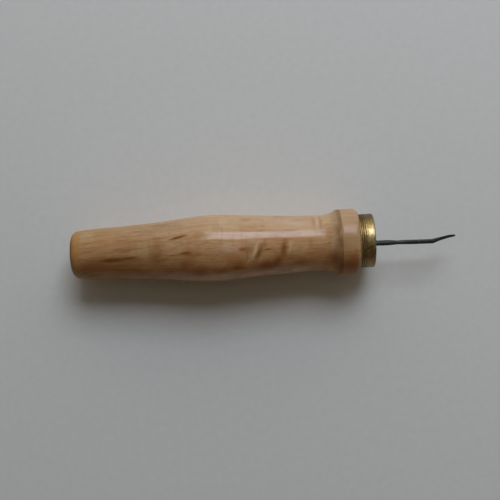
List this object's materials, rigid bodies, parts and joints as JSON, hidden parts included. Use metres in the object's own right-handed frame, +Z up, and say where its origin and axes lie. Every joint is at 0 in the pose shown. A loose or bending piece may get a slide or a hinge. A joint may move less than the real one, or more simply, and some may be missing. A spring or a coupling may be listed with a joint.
{
  "type": "lino cutter",
  "caption": "Lino cutter: fine bent steel gouge bedded in a turned wooden handle with a swelling grip, a bead and a ringed brass ferrule.",
  "frame": {"origin": "under the middle of the tool's length, on the plane the tool lies on", "axes": "+X along the tool from the butt to the cutting edge, +Y to the side that the tip is bent towards, +Z up with the tool lying on its side"},
  "size_m": [0.1566, 0.0274, 0.0274],
  "materials": {
    "lacquered_wood": "pale close-grained hardwood with brown pith flecks, clear lacquer, semi-gloss",
    "turned_brass": "turned and worn, slightly tarnished, ring-shaped tool marks",
    "dark_steel": "dark oxidised forged surface, thin bright ground edge at the tip",
    "cured_adhesive": "hardened amber adhesive, glossy"
  },
  "bodies": {
    "root": {"handle": "lacquered_wood", "ferrule": "turned_brass", "cutter": "dark_steel", "tang_bedding": "cured_adhesive"}
  },
  "joints": []
}
